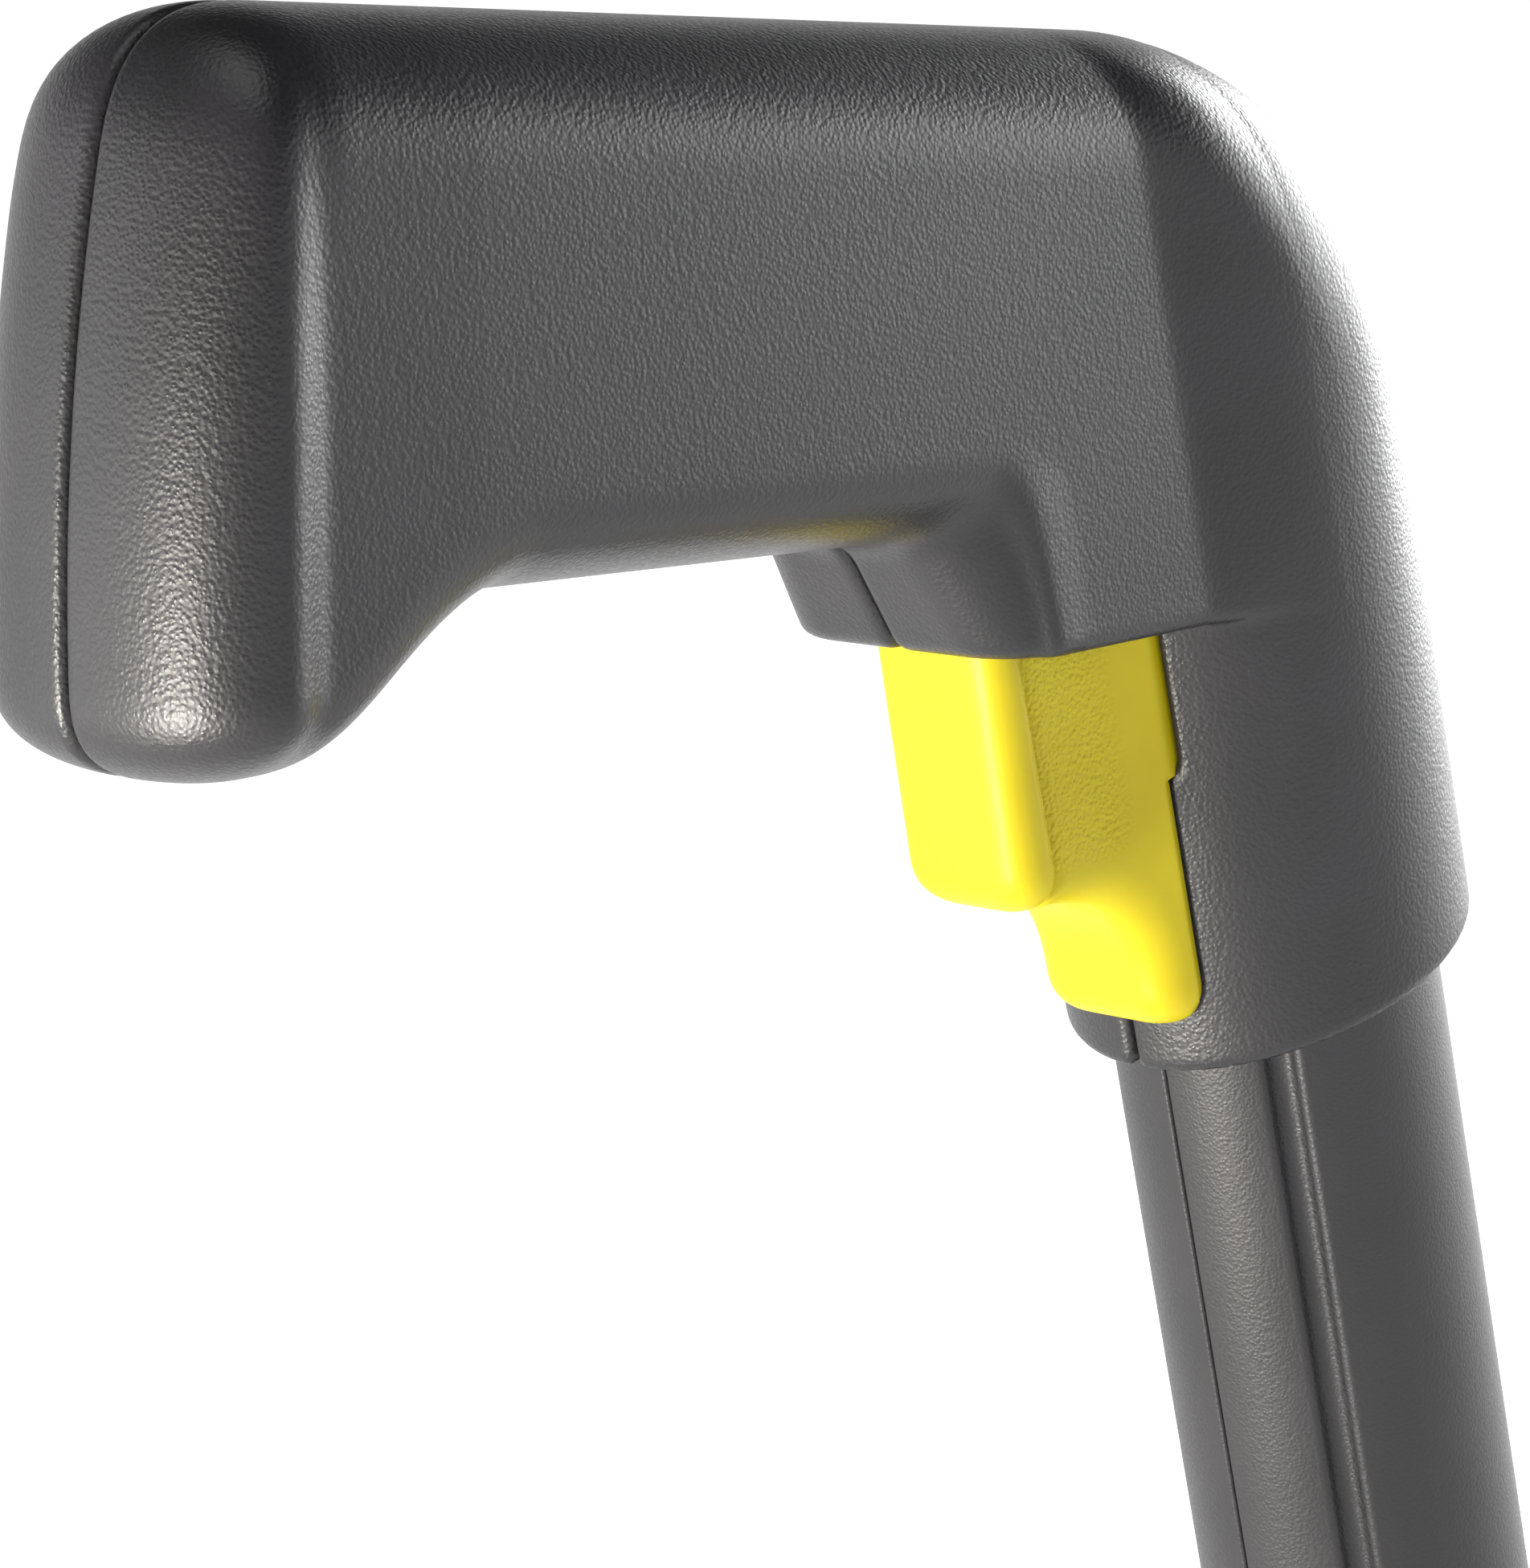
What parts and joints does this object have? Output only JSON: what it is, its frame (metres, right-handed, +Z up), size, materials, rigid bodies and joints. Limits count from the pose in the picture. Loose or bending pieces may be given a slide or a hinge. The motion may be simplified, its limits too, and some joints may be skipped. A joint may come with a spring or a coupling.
{
  "type": "spot extractor handle",
  "caption": "Pistol-style push handle with a sliding finger trigger on a grooved column section, whose pull rod draws back a lock pin.",
  "frame": {"origin": "centre of the column's lower end face", "axes": "+Z up along the column, -X towards the user's hand and the grip, Y across; the moulded halves part at Y = 0, right half at -Y"},
  "size_m": [0.1444, 0.04, 0.3159],
  "materials": {
    "shell": "dark grey injection-moulded plastic with a fine leather grain",
    "column": "dark grey moulded plastic with a fine grain, slightly smoother than the handle",
    "yellow": "bright yellow satin plastic, grained on the trigger's neck",
    "inner_plastic": "plain grey moulded plastic",
    "steel": "zinc-plated steel",
    "dark_steel": "blackened steel"
  },
  "bodies": {
    "handle": {"handle_shell_right": "shell", "handle_shell_left": "shell", "column_half_right": "column", "column_half_left": "column", "column_end_plug": "column", "rod_guide_upper": "inner_plastic", "rod_guide_lower": "inner_plastic", "spring_seat": "inner_plastic", "lock_pin_bush": "inner_plastic", "return_spring": "steel", "lock_pin_spring": "steel", "cross_pin": "dark_steel", "handle_screw_1": "dark_steel", "handle_screw_2": "dark_steel", "handle_screw_3": "dark_steel", "handle_screw_4": "dark_steel", "handle_screw_5": "dark_steel", "column_screw_1": "dark_steel", "column_screw_2": "dark_steel", "column_screw_3": "dark_steel", "column_screw_4": "dark_steel"},
    "trigger_carriage": {"trigger": "yellow", "pull_rod": "steel", "rod_clip": "dark_steel", "rod_nut_upper": "steel", "lock_cam": "inner_plastic", "rod_nut_lower": "steel"},
    "lock": {"lock_pin": "steel", "lock_pin_peg": "steel"}
  },
  "joints": [
    {"name": "trigger_slide", "type": "slide", "parent": "handle", "child": "trigger_carriage", "axis": [0, 0, 1], "range_m": [0, 0.009], "stiffness_N_per_m": 350, "springref_m": -0.012, "deforming": ["return_spring"]},
    {"name": "lock_slide", "type": "slide", "parent": "handle", "child": "lock", "axis": [-1, 0, 0], "range_m": [0, 0.004], "deforming": ["lock_pin_spring"]}
  ],
  "couplings": [
    {"joint": "lock_slide", "follows": "trigger_slide", "ratio": 0.4444}
  ]
}
